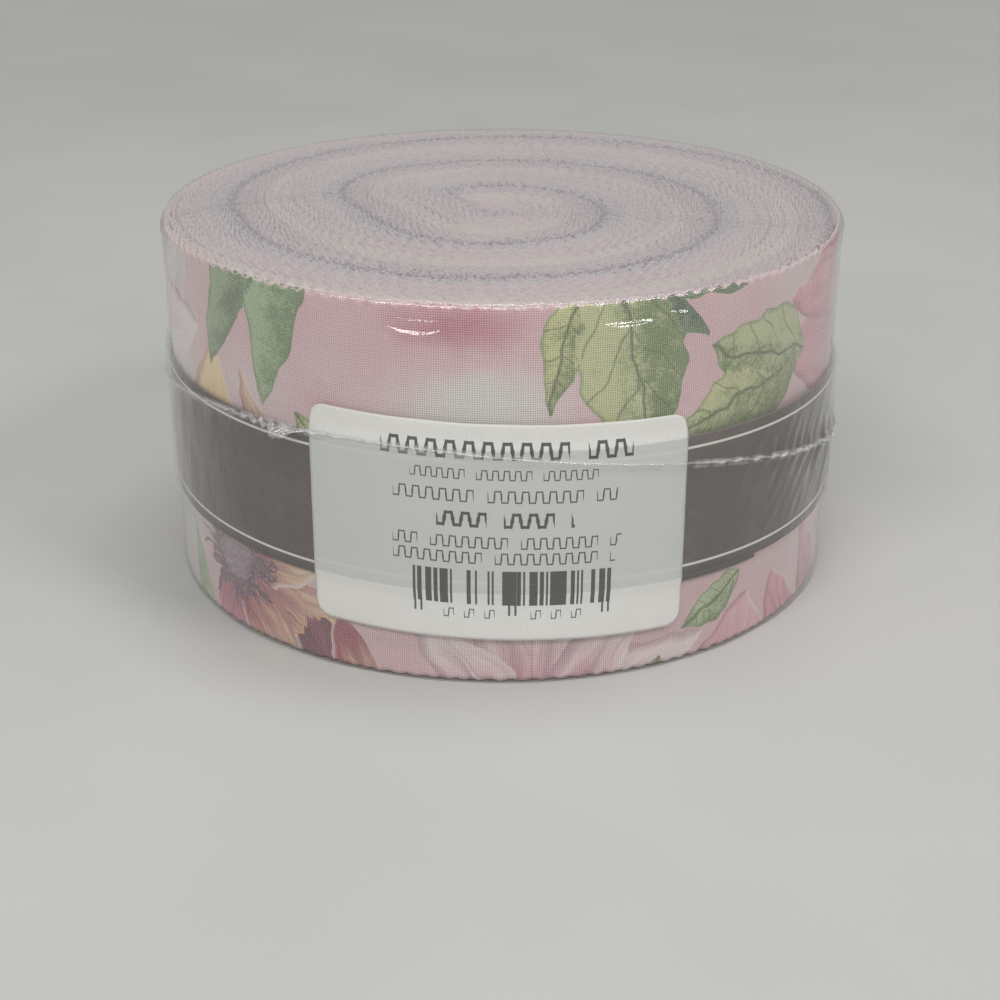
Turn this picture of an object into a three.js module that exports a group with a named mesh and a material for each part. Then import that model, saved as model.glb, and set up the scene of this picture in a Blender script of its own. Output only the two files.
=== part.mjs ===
// A roll of pre-cut quilting strips: folded strips of cotton are stacked, rolled up, wrapped in one
// printed cover strip, held by a paper band with a paper label, and sealed in clear shrink film.
// Millimetres, +Z up. The origin is the middle of the roll's bottom, and the label faces -Y.
import * as THREE from "three";

// Cloth
const STRIP_WIDTH = 63.5; // a strip cut two and a half inches wide
const STRIP_LENGTH = 1066.8; // the usable forty-two inch width of the cloth
const PLY = 0.205; // one layer of cotton, pressed
const STRIP_AIR = 0.085; // between one folded strip and the next
const CORE_BEND = 0.6; // radius that the innermost strip turns on
const BLUNT_END_ANGLE = THREE.MathUtils.degToRad(118.7); // direction of the stack's inner end
const COVER_END_ANGLE = THREE.MathUtils.degToRad(200); // azimuth of the cover strip's outer end
const STRIP_COLOURS = [
  ["lavender", 6, 0xaba9b8],
  ["blush", 12, 0xd9bfc0],
  ["cream", 9, 0xe0d2c0],
  ["mauve", 9, 0xb79aa2],
  ["charcoal", 3, 0x655e62],
]; // from the inside of the stack to its outside: name, number of strips, colour

// Paper band
const BAND_WIDTH = 24.5;
const BAND_BOTTOM = 16.3;
const BAND_PAPER = 0.2;
const BAND_OVERLAP = 52; // length glued over the band's own first end
const BAND_FIRST_END = THREE.MathUtils.degToRad(45); // azimuth of the end that lies underneath
const BAND_CLIMB = 1; // how far one turn of the band climbs, so its ends don't line up
const BAND_TILT = THREE.MathUtils.degToRad(1); // the whole band rises towards the left

// Label
const LABEL_LENGTH = 62;
const LABEL_WIDTH = 37;
const LABEL_BOTTOM = 8.2;
const LABEL_PAPER = 0.15;
const LABEL_CORNER = 2.5;
const LABEL_MIDDLE = THREE.MathUtils.degToRad(-0.5); // azimuth of its middle
const LABEL_TILT = THREE.MathUtils.degToRad(1.5);

// Film
const FILM = 0.15;
const SHOULDER = 2; // radius where the film turns from the side onto an end
const SEAM_HEIGHT = 29.3; // of the fused seam at the roll's axis
const SEAM_RISE_LEFT = 6.4; // how much higher the slanted seam runs at the left
const SEAM_RISE_FRONT = 10.6; // and at the front
const SEAM_WIDTH = 0.9;
const SEAM_STANDS = 0.6; // how far the fused edge stands out of the film

// Clearances
const COVER_GAP = 0.25; // cover strip to the rolled stack
const BAND_GAP = 0.15; // band to cover strip, and between the band's own overlapped ends
const LABEL_GAP = 0.15; // label to band
const FILM_GAP = 0.3; // film wall to the label, and the film's edges to the fused seam
const END_GAP = 0.12; // film to the cover strip's corner, where the shoulder comes closest

// How finely curves are divided
const WRAP_STEP = THREE.MathUtils.degToRad(6);
const QUARTER_STEPS = 4; // in each quarter turn of a rolled strip
const INNER_QUARTER_STEPS = 2; // in each quarter of its first, tight turn
const STRAIGHT_STEPS = 3; // in the straight stretch of each turn
const SAMPLE_STEPS = 24; // in each quarter turn when the roll's outline is measured
const OUTLINE_SAMPLES = 72;
const OUTLINE_HARMONICS = 3;

// What follows from them
const FOLDED = 2 * PLY;
const FOLDED_LENGTH = STRIP_LENGTH / 2;
const STRIP_PITCH = FOLDED + STRIP_AIR;
const STACK_COUNT = STRIP_COLOURS.reduce((sum, [, count]) => sum + count, 0);
const STACK = STACK_COUNT * STRIP_PITCH;
const QUARTER = Math.PI / 2;
const FULL_TURN = 2 * Math.PI;

// One turn of the roll is three quarters of an arc about the bend, a straight stretch as long as the
// stack is thick, and a quarter arc about the stack's blunt outer corner. That winds without gaps.
const BEND = new THREE.Vector2(0, 0);
const CORNER = new THREE.Vector2(STACK, 0).rotateAround(BEND, BLUNT_END_ANGLE);

// Stations along a strip whose first turn has the given radius: where it is, which way is outward, how
// far along the strip, and what angle and shift of the centre led to it. It winds clockwise, seen from
// above, until the strip ends.
function stripPath(bendRadius, innerSteps, outerSteps, straightSteps) {
  const path = [{ centre: BEND, angle: BLUNT_END_ANGLE, radius: bendRadius, along: 0 }];
  const reached = () => path[path.length - 1];
  const turnBy = (centre, radius, sweep, steps) => {
    const step = sweep / steps;
    for (let i = 0; i < steps; i += 1) {
      const { angle, along } = reached();
      path.push({ centre, angle: angle - step, radius, along: along + radius * step, step, shift: 0 });
    }
  };
  for (let turn = 0; reached().along < FOLDED_LENGTH; turn += 1) {
    const radius = bendRadius + turn * STACK;
    const steps = turn === 0 ? innerSteps : outerSteps;
    turnBy(BEND, radius, 3 * QUARTER, 3 * steps);
    for (let i = 1; i <= straightSteps; i += 1) {
      const { angle, along } = reached();
      const shift = 1 / straightSteps;
      const centre = CORNER.clone().multiplyScalar(i * shift);
      path.push({ centre, angle, radius, along: along + STACK * shift, step: 0, shift });
    }
    turnBy(CORNER, radius, QUARTER, steps);
  }
  const end = path.findIndex((station) => station.along >= FOLDED_LENGTH);
  const spare = (path[end].along - FOLDED_LENGTH) / (path[end].along - path[end - 1].along);
  const { centre, angle, radius, step, shift } = path[end];
  const cut = {
    centre: centre.clone().addScaledVector(CORNER, -shift * spare),
    angle: angle + step * spare,
    radius,
    along: FOLDED_LENGTH,
  };
  return [...path.slice(0, end), cut];
}

function stationPoint(station, offset) {
  const reach = station.radius + offset;
  return new THREE.Vector2(
    station.centre.x + reach * Math.cos(station.angle),
    station.centre.y + reach * Math.sin(station.angle),
  );
}

const bendRadiusOf = (index) => CORE_BEND + (index + 0.5) * STRIP_PITCH;

// The free roll's outline as a smooth radius about a centre: its sampled outermost points, and the
// first few harmonics of their distance.
function measureOutline(centre) {
  const farthest = new Array(OUTLINE_SAMPLES).fill(0);
  for (let index = 0; index < STACK_COUNT; index += 1) {
    for (const station of stripPath(bendRadiusOf(index), SAMPLE_STEPS, SAMPLE_STEPS, SAMPLE_STEPS)) {
      const point = stationPoint(station, FOLDED / 2).sub(centre);
      const bin = Math.floor(((point.angle() / FULL_TURN) * OUTLINE_SAMPLES) % OUTLINE_SAMPLES);
      farthest[bin] = Math.max(farthest[bin], point.length());
    }
  }
  const terms = [];
  for (let k = 0; k <= OUTLINE_HARMONICS; k += 1) {
    let cosine = 0;
    let sine = 0;
    farthest.forEach((distance, bin) => {
      const angle = ((bin + 0.5) / OUTLINE_SAMPLES) * FULL_TURN;
      cosine += (distance * Math.cos(k * angle)) / OUTLINE_SAMPLES;
      sine += (distance * Math.sin(k * angle)) / OUTLINE_SAMPLES;
    });
    terms.push(k === 0 ? [cosine, 0] : [2 * cosine, 2 * sine]);
  }
  const wave = (angle, [c, s], k) => c * Math.cos(k * angle) + s * Math.sin(k * angle);
  const radiusAt = (angle) => terms.reduce((sum, term, k) => sum + wave(angle, term, k), 0);
  const tightest = farthest.reduce((most, distance, bin) => {
    return Math.max(most, distance / radiusAt(((bin + 0.5) / OUTLINE_SAMPLES) * FULL_TURN));
  }, 1);
  return { terms, radiusAt, tightest };
}

// Seen from the bend, the outline's first harmonic is how far the roll's middle lies from the bend.
const seenFromBend = measureOutline(BEND).terms[1];
const rollCentre = new THREE.Vector2(seenFromBend[0], seenFromBend[1]);
const outline = measureOutline(rollCentre);
const ROLL_RADIUS = outline.terms[0][0] * outline.tightest;

// The wrapping presses the free roll round. The press fades out towards the middle.
function pressRound(point) {
  const fromCentre = point.clone().sub(rollCentre);
  const free = outline.radiusAt(fromCentre.angle()) * outline.tightest;
  const depth = fromCentre.length() / free;
  return fromCentre.multiplyScalar(1 + (ROLL_RADIUS / free - 1) * depth);
}

// How the wrapped layers follow each other outwards.
const coverInner = ROLL_RADIUS + COVER_GAP;
const coverSweep = FOLDED_LENGTH / (coverInner + FOLDED);
const coverOuter = coverInner + FOLDED + (STRIP_PITCH * coverSweep) / FULL_TURN;
const bandInner = coverOuter + BAND_GAP;
const bandSweep = FULL_TURN + BAND_OVERLAP / bandInner;
const bandOuter = bandInner + BAND_PAPER + ((BAND_PAPER + BAND_GAP) * bandSweep) / FULL_TURN;
const labelInner = bandOuter + LABEL_GAP;
const labelOuter = labelInner + LABEL_PAPER;
const filmInner = labelOuter + FILM_GAP;
const filmOuter = filmInner + FILM;

// The film's shoulder is two flats. SLOPE is how far their meeting lies in from the wall and the end.
// The cloth stands high enough to clear them where they pass over the cover strip's edge.
const SLOPE = SHOULDER * (1 - Math.SQRT1_2);
const shoulderOverCover = Math.max(0, SHOULDER - (filmInner - coverOuter));
const shoulderRise = (shoulderOverCover * SLOPE) / (SHOULDER - SLOPE);
const STRIP_BOTTOM = FILM + END_GAP + shoulderRise;
const HEIGHT = STRIP_BOTTOM + STRIP_WIDTH + END_GAP + shoulderRise + FILM;

// A bent sheet: a box whose length is laid through the stations. Each station gives the points of the
// inner and the outer face in plan, and the heights of the lower and the upper edge.
function bentSheet(stations) {
  const steps = stations.length - 1;
  const geometry = new THREE.BoxGeometry(1, 1, 1, steps, 1, 1);
  const position = geometry.attributes.position;
  for (let i = 0; i < position.count; i += 1) {
    const station = stations[Math.round((position.getX(i) + 0.5) * steps)];
    const face = position.getZ(i) > 0 ? station.inner : station.outer;
    const height = position.getY(i) > 0 ? station.top : station.bottom;
    position.setXYZ(i, face.x, face.y, height);
  }
  geometry.computeVertexNormals();
  return geometry;
}

function stackedStrip(index) {
  const path = stripPath(bendRadiusOf(index), INNER_QUARTER_STEPS, QUARTER_STEPS, STRAIGHT_STEPS);
  const stations = path.map((station) => ({
    inner: pressRound(stationPoint(station, -FOLDED / 2)),
    outer: pressRound(stationPoint(station, FOLDED / 2)),
    bottom: STRIP_BOTTOM,
    top: STRIP_BOTTOM + STRIP_WIDTH,
  }));
  return bentSheet(stations);
}

// Azimuth is measured at the axis from the front, positive to the right.
function atAzimuth(radius, azimuth) {
  return new THREE.Vector2(radius * Math.sin(azimuth), -radius * Math.cos(azimuth));
}

// Azimuths from one to another, clockwise, with a stop at every shared step between, so that the faces
// of one wrapped layer lie parallel to those of the next.
function wrapAzimuths(from, to) {
  const between = [];
  for (let k = Math.ceil(from / WRAP_STEP) - 1; k * WRAP_STEP > to; k -= 1) {
    between.push(k * WRAP_STEP);
  }
  const apart = (a, b) => Math.abs(a - b) > WRAP_STEP / 10;
  return [from, ...between.filter((azimuth) => apart(azimuth, from) && apart(azimuth, to)), to];
}

// A sheet wound round the roll from an inner radius, gaining one thickness and one gap each turn.
function woundSheet({ from, to, innerRadius, thickness, gap, edges }) {
  const growth = (thickness + gap) / FULL_TURN;
  const stations = wrapAzimuths(from, to).map((azimuth) => {
    const radius = innerRadius + growth * (from - azimuth);
    return {
      inner: atAzimuth(radius, azimuth),
      outer: atAzimuth(radius + thickness, azimuth),
      ...edges(azimuth),
    };
  });
  return bentSheet(stations);
}

function coverStrip() {
  return woundSheet({
    from: COVER_END_ANGLE + coverSweep,
    to: COVER_END_ANGLE,
    innerRadius: coverInner,
    thickness: FOLDED,
    gap: STRIP_AIR,
    edges: () => ({ bottom: STRIP_BOTTOM, top: STRIP_BOTTOM + STRIP_WIDTH }),
  });
}

function paperBand() {
  return woundSheet({
    from: BAND_FIRST_END,
    to: BAND_FIRST_END - bandSweep,
    innerRadius: bandInner,
    thickness: BAND_PAPER,
    gap: BAND_GAP,
    edges: (azimuth) => {
      const climb = (BAND_CLIMB * (BAND_FIRST_END - azimuth)) / FULL_TURN;
      const tilt = -Math.tan(BAND_TILT) * bandInner * Math.sin(azimuth);
      const bottom = BAND_BOTTOM - BAND_CLIMB + climb + tilt;
      return { bottom, top: bottom + BAND_WIDTH };
    },
  });
}

// The label's ends are rounded by lowering its edges at a few stops inside each corner.
function paperLabel() {
  const half = LABEL_LENGTH / labelInner / 2;
  const stops = [0, 1, 2, 3].map((k) => (LABEL_CORNER * (1 - Math.cos((k * QUARTER) / 3))) / labelInner);
  const azimuths = [
    ...stops.map((stop) => half - stop),
    ...wrapAzimuths(half - stops[3], stops[3] - half).slice(1, -1),
    ...stops.reverse().map((stop) => stop - half),
  ];
  const stations = azimuths.map((fromMiddle) => {
    const intoCorner = Math.max(0, LABEL_CORNER - (half - Math.abs(fromMiddle)) * labelInner);
    const cut = LABEL_CORNER - Math.sqrt(LABEL_CORNER ** 2 - Math.min(intoCorner, LABEL_CORNER) ** 2);
    const tilt = -Math.tan(LABEL_TILT) * labelInner * fromMiddle;
    return {
      inner: atAzimuth(labelInner, LABEL_MIDDLE + fromMiddle),
      outer: atAzimuth(labelOuter, LABEL_MIDDLE + fromMiddle),
      bottom: LABEL_BOTTOM + tilt + cut,
      top: LABEL_BOTTOM + LABEL_WIDTH + tilt - cut,
    };
  });
  return bentSheet(stations);
}

const WRAP_COUNT = Math.round(FULL_TURN / WRAP_STEP);

// The slanted plane that the fused seam runs in.
function seamHeightAt(x, y) {
  return SEAM_HEIGHT - (SEAM_RISE_LEFT * x) / filmOuter - (SEAM_RISE_FRONT * y) / filmOuter;
}

// A turned profile of [radius, height, atSeam] points, whose atSeam points follow the slanted seam:
// their height is measured from it.
function turned(profile) {
  const points = profile.map(([radius, height]) => new THREE.Vector2(radius, height));
  const geometry = new THREE.LatheGeometry(points, WRAP_COUNT);
  geometry.rotateX(QUARTER);
  const position = geometry.attributes.position;
  for (let i = 0; i < position.count; i += 1) {
    const [, height, atSeam] = profile[i % profile.length];
    const x = position.getX(i);
    const y = position.getY(i);
    position.setZ(i, atSeam ? seamHeightAt(x, y) + height : height);
  }
  geometry.computeVertexNormals();
  return geometry;
}

// The two halves of the film stop short of the fused edge that joins them.
const seamClear = SEAM_WIDTH / 2 + FILM_GAP;

function lowerFilm() {
  return turned([
    [0, 0],
    [filmOuter - SHOULDER, 0],
    [filmOuter - SLOPE, SLOPE],
    [filmOuter, SHOULDER],
    [filmOuter, -seamClear, true],
    [filmInner, -seamClear, true],
    [filmInner, SHOULDER],
    [filmInner - SLOPE, SLOPE + FILM],
    [filmInner - SHOULDER, FILM],
    [0, FILM],
  ]);
}

function upperFilm() {
  return turned([
    [0, HEIGHT - FILM],
    [filmInner - SHOULDER, HEIGHT - FILM],
    [filmInner - SLOPE, HEIGHT - SLOPE - FILM],
    [filmInner, HEIGHT - SHOULDER],
    [filmInner, seamClear, true],
    [filmOuter, seamClear, true],
    [filmOuter, HEIGHT - SHOULDER],
    [filmOuter - SLOPE, HEIGHT - SLOPE],
    [filmOuter - SHOULDER, HEIGHT],
    [0, HEIGHT],
  ]);
}

function fusedSeam() {
  const half = SEAM_WIDTH / 2;
  const outside = filmOuter + SEAM_STANDS;
  return turned([
    [filmInner, -half, true],
    [outside, -half, true],
    [outside, half, true],
    [filmInner, half, true],
    [filmInner, -half, true],
  ]);
}

const roll = new THREE.Group();

function add(name, geometry, finish) {
  const mesh = new THREE.Mesh(geometry, new THREE.MeshStandardMaterial({ metalness: 0, ...finish }));
  mesh.name = name;
  roll.add(mesh);
}

let index = 0;
for (const [, count, color] of STRIP_COLOURS) {
  for (let i = 0; i < count; i += 1) {
    const name = `strip_${String(index + 1).padStart(2, "0")}`;
    add(name, stackedStrip(index), { color, roughness: 0.95 });
    index += 1;
  }
}
add("cover_strip", coverStrip(), { color: 0xc9a0a3, roughness: 0.95 });
add("paper_band", paperBand(), { color: 0x6b625e, roughness: 0.8 });
add("label", paperLabel(), { color: 0xe9e8e4, roughness: 0.6 });
const clear = { color: 0xf2f2f2, roughness: 0.12, transparent: true, opacity: 0.2 };
add("film_lower", lowerFilm(), clear);
add("film_upper", upperFilm(), clear);
add("film_seam", fusedSeam(), { ...clear, opacity: 0.5 });

export default roll;
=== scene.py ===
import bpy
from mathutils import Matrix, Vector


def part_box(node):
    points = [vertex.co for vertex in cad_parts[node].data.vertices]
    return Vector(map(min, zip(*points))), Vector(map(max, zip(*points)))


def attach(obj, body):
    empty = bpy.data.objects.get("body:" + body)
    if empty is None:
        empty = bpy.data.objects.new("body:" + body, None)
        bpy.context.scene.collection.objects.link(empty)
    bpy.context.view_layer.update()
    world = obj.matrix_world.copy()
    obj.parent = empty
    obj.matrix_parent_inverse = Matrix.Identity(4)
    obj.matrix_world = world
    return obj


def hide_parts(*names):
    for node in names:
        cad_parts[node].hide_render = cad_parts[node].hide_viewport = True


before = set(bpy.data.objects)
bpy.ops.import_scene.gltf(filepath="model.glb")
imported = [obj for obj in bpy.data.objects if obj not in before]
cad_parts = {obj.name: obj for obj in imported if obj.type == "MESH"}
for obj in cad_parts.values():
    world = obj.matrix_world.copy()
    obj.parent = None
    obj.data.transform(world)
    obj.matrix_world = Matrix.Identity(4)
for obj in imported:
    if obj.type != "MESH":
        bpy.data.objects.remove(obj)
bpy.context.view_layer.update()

import math

import bpy
import numpy as np

MM = 0.001
FULL_TURN = 2 * math.pi
QUARTER = math.pi / 2

# ---- sizes, mm
STRIP_LENGTH = 1066.8
FOLDED_LENGTH = STRIP_LENGTH / 2
STRIP_PITCH = 0.495  # from one folded strip to the next
PLY_PITCH = STRIP_PITCH / 2
PLY = 0.19  # one layer of cotton
CORE_BEND = 0.6  # radius of the innermost turn
BLUNT_END_ANGLE = math.radians(118.7)
# from the middle outwards: colour, how many strips have it, and the two shades of their print
STACK_COLOURS = [
    ("lavender", 6, (174, 168, 178), (188, 178, 186)),
    ("blush", 12, (194, 172, 175), (204, 182, 184)),
    ("cream", 9, (200, 184, 176), (208, 194, 184)),
    ("mauve", 9, (180, 158, 167), (192, 170, 176)),
    ("charcoal", 3, (138, 128, 138), (156, 145, 153)),
]
STACK_COUNT = sum(count for _, count, _, _ in STACK_COLOURS)
STACK = STACK_COUNT * STRIP_PITCH

TOOTH = 2.8  # pitch of the pinked edge
TOOTH_DEPTH = 0.95
STATIONS_PER_TOOTH = 4
STATIONS = int(round(FOLDED_LENGTH / TOOTH * STATIONS_PER_TOOTH)) + 1  # along one ply
ROLL_CLEARANCE = 0.2  # rolled stack to the cover strip's inner ply
MEANDER = 0.35  # how far the stack strays from a true spiral


def box_mm(node):
    """The low and high corners of a CAD node's box."""
    return [[v / MM for v in corner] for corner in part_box(node)]


def radius_of(node):
    low, high = box_mm(node)
    return (high[0] - low[0]) / 2


(_, _, STRIP_BOTTOM), (_, _, STRIP_TOP) = box_mm("strip_20")
COVER_OUTER = radius_of("cover_strip")
BAND_OUTER = radius_of("paper_band")
FILM_TOP = box_mm("film_upper")[1][2]

scene = bpy.context.scene
rng = np.random.default_rng(20)  # every strip draws from it in turn, so the order of draws matters


# ---- smooth noise
def smooth_noise(x, y, scale, seed):
    """A smooth value about 0, mostly within -1 and 1: a few crossing waves of about that wavelength."""
    waves = np.random.default_rng(seed)
    total = np.zeros(np.broadcast(x, y).shape)
    for _ in range(7):
        direction = waves.uniform(0, FULL_TURN)
        wavelength = scale * waves.uniform(0.6, 1.7)
        start = waves.uniform(0, FULL_TURN)
        across = (x * math.cos(direction) + y * math.sin(direction)) * FULL_TURN / wavelength
        total = total + np.sin(across + start)
    return total / 4


def bell(off, width):
    """1 at 0, falling smoothly to 0 past that width."""
    return np.exp(-((off / width) ** 2))


# ---- mesh helpers
def add_to_scene(name, data):
    made = bpy.data.objects.new(name, data)
    scene.collection.objects.link(made)
    return made


def make_object(name, points, faces, flat=None):
    """A smooth-shaded object from points in mm and a list of arrays of faces; flat gives each vertex's
    place on the flat sheet in mm, and becomes the UV map in metres."""
    mesh = bpy.data.meshes.new(name)
    groups = [np.asarray(group, np.int32) for group in faces if len(group)]
    loops = np.concatenate([group.reshape(-1) for group in groups])
    totals = np.concatenate([np.full(len(group), group.shape[1], np.int32) for group in groups])
    starts = np.concatenate([[0], np.cumsum(totals)[:-1]]).astype(np.int32)
    mesh.vertices.add(len(points))
    mesh.vertices.foreach_set("co", (np.asarray(points, np.float32) * MM).reshape(-1))
    mesh.loops.add(len(loops))
    mesh.loops.foreach_set("vertex_index", loops)
    mesh.polygons.add(len(totals))
    mesh.polygons.foreach_set("loop_start", starts)
    mesh.polygons.foreach_set("use_smooth", np.ones(len(totals), bool))
    if flat is not None:
        layer = mesh.uv_layers.new(name="UVMap")
        layer.data.foreach_set("uv", np.asarray(flat * MM, np.float32)[loops].reshape(-1))
    mesh.update(calc_edges=True)
    mesh.validate()
    return add_to_scene(name, mesh)


def add_attribute(made, name, values):
    """A float attribute from one value for each vertex."""
    attribute = made.data.attributes.new(name, "FLOAT", "POINT")
    attribute.data.foreach_set("value", np.asarray(values, np.float32).reshape(-1))


def grid_faces(columns, rows, first=0, flip=False):
    """Quads of a grid whose vertex numbers run along its rows, column by column."""
    i, j = np.meshgrid(np.arange(columns - 1), np.arange(rows - 1), indexing="ij")
    a = first + (i * rows + j).reshape(-1)
    quads = np.stack([a, a + rows, a + rows + 1, a + 1], axis=1)
    return quads[:, ::-1] if flip else quads


def slab_faces(columns, front_rows, back_rows):
    """A closed slab: a front grid, a back grid with the same columns, and the edges between them."""
    back = columns * front_rows
    column = np.arange(columns - 1)
    f_low, b_low = column * front_rows, back + column * back_rows
    f_high, b_high = f_low + front_rows - 1, b_low + back_rows - 1
    low_edge = np.stack([f_low, b_low, b_low + back_rows, f_low + front_rows], axis=1)
    high_edge = np.stack([f_high, f_high + front_rows, b_high + back_rows, b_high], axis=1)
    start = np.concatenate([np.arange(front_rows), (back + np.arange(back_rows))[::-1]])
    last_f, last_b = (columns - 1) * front_rows, back + (columns - 1) * back_rows
    end = np.concatenate([(last_f + np.arange(front_rows))[::-1], last_b + np.arange(back_rows)])
    return [
        grid_faces(columns, front_rows),
        grid_faces(columns, back_rows, back, flip=True),
        low_edge,
        high_edge,
        start[None, :],
        end[None, :],
    ]


def ring_quads(rings, around, closed=False):
    """Quads between rings of vertices that go all the way round; closed joins the last ring to the first."""
    ring, step = np.meshgrid(np.arange(rings if closed else rings - 1), np.arange(around), indexing="ij")
    this, following = ring * around, (ring + 1) % rings * around
    corners = [this + step, this + (step + 1) % around, following + (step + 1) % around, following + step]
    return np.stack([corner.reshape(-1) for corner in corners], axis=1)


def at_azimuth(radius, azimuth):
    """A plan point. Azimuth is measured from the front, positive to the right."""
    return np.stack([radius * np.sin(azimuth), -radius * np.cos(azimuth)], axis=-1)


def sheet_grid(plan, heights):
    """Points of a standing sheet: one plan point for each column, and a height for each row of each."""
    columns = np.repeat(plan[:, None, :], heights.shape[1], axis=1)
    return np.concatenate([columns, heights[..., None]], axis=2).reshape(-1, 3)


def flat_grid(along, heights):
    """The same points' places on the flat sheet."""
    return np.stack([np.repeat(along[:, None], heights.shape[1], axis=1), heights], axis=2).reshape(-1, 2)


def twice(values):
    """The same values for a slab's front and back."""
    return np.concatenate([values, values])


# ---- the rolled stack
# every strip turns round the inner corner of the stack's blunt end, then round its outer corner
BEND = np.zeros(2)
CORNER = STACK * np.array([math.cos(BLUNT_END_ANGLE), math.sin(BLUNT_END_ANGLE)])


def bend_radius_of(index):
    return CORE_BEND + (index + 0.5) * STRIP_PITCH


def stack_path(bend_radius, along):
    """Where a rolled strip's middle is at each length along it: centre and angle and radius of the turn."""
    centre = np.zeros((len(along), 2))
    angle = np.zeros(len(along))
    radius = np.full(len(along), bend_radius)
    reached, turn = 0.0, 0
    while reached <= along[-1] + 1:
        r = bend_radius + turn * STACK
        pieces = [
            (BEND, BEND, BLUNT_END_ANGLE, 3 * QUARTER, 3 * QUARTER * r),
            (BEND, CORNER, BLUNT_END_ANGLE - 3 * QUARTER, 0, STACK),
            (CORNER, CORNER, BLUNT_END_ANGLE - 3 * QUARTER, QUARTER, QUARTER * r),
        ]
        for here, there, start, sweep, length in pieces:
            inside = (along >= reached) & (along <= reached + length)
            share = ((along[inside] - reached) / length)[:, None]
            centre[inside] = here + (there - here) * share
            angle[inside] = start - sweep * share[:, 0]
            radius[inside] = r
            reached += length
        turn += 1
    return centre, angle, radius


def direction(angle):
    return np.stack([np.cos(angle), np.sin(angle)], axis=-1)


OUTLINE_BINS = 72
OUTLINE_HARMONICS = 14
OUTLINE_SAMPLES = 700
HALF_STRIP = PLY_PITCH * 0.83  # from a strip's middle to its face, with a little air


def measure_outline(middle):
    """The free roll's outline: the first harmonics of its outermost points' distance, and the worst miss."""
    farthest = np.zeros(OUTLINE_BINS)
    along = np.linspace(0, FOLDED_LENGTH, OUTLINE_SAMPLES)
    for index in range(STACK_COUNT):
        centre, angle, radius = stack_path(bend_radius_of(index), along)
        reach = centre + (radius + HALF_STRIP)[:, None] * direction(angle) - middle
        turn = np.arctan2(reach[:, 1], reach[:, 0]) % FULL_TURN
        bins = (turn / FULL_TURN * OUTLINE_BINS).astype(int) % OUTLINE_BINS
        np.maximum.at(farthest, bins, np.hypot(reach[:, 0], reach[:, 1]))
    at = (np.arange(OUTLINE_BINS) + 0.5) / OUTLINE_BINS * FULL_TURN
    terms = []
    for k in range(OUTLINE_HARMONICS + 1):
        scaled = farthest if k == 0 else 2 * farthest
        terms.append(((scaled * np.cos(k * at)).mean(), (scaled * np.sin(k * at)).mean()))
    return terms, (farthest / outline_radius(terms, at)).max()


def outline_radius(terms, angle):
    return sum(c * np.cos(k * angle) + s * np.sin(k * angle) for k, (c, s) in enumerate(terms))


roll_middle = np.array(measure_outline(BEND)[0][1])
outline_terms, outline_miss = measure_outline(roll_middle)
ROLL_RADIUS = COVER_OUTER - STRIP_PITCH - ROLL_CLEARANCE


def press_round(points):
    """The wrapping presses the free roll round; the press fades out towards the middle."""
    out = points - roll_middle
    angle = np.arctan2(out[:, 1], out[:, 0])
    free = outline_radius(outline_terms, angle) * outline_miss
    depth = np.hypot(out[:, 0], out[:, 1]) / free
    pressed = out * (1 + (ROLL_RADIUS / free - 1) * depth)[:, None]
    # the whole stack meanders a little, less so near the outside
    fade = np.clip(1.2 - depth, 0, 1)
    for axis, seed in ((0, 5), (1, 6)):
        pressed[:, axis] += MEANDER * fade * smooth_noise(out[:, 0], out[:, 1], 26, seed)
    return pressed


def pinked(along, start, seed):
    """How far a pinked edge lies inside its line: worn saw teeth with a little fray."""
    wear = np.random.default_rng(seed)
    drift = 0.3 * np.interp(along, np.linspace(along.min(), along.max(), 60), wear.normal(size=60))
    phase = (along / TOOTH + start + drift) % 1
    tooth = np.abs(2 * phase - 1)
    return TOOTH_DEPTH * tooth ** 0.85 + np.abs(wear.normal(0, 0.07, len(along)))


PLAIN_SPECKLE = 0.13  # share of a light strip that its print darkens
SPECKLES = {
    0: 0.50, 1: 0.40, 2: 0.30, 3: 0.20, 12: 0.16, 22: 0.14,
    31: 0.18, 32: 0.26, 33: 0.36, 34: 0.46, 35: 0.56, 36: 0.64, 37: 0.66, 38: 0.60,
}
EDGE_ROW = 3.2  # from the strip's edge to its inner row of vertices
FOLD_STOPS = 5  # columns in the turn at the fold
FOLD_LENGTH = 0.2  # half the cloth in that turn
LIFT = 0.13  # spread of the strips' heights
WANDER = 0.12  # how far one strip's edge rises and sinks along the roll


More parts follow.
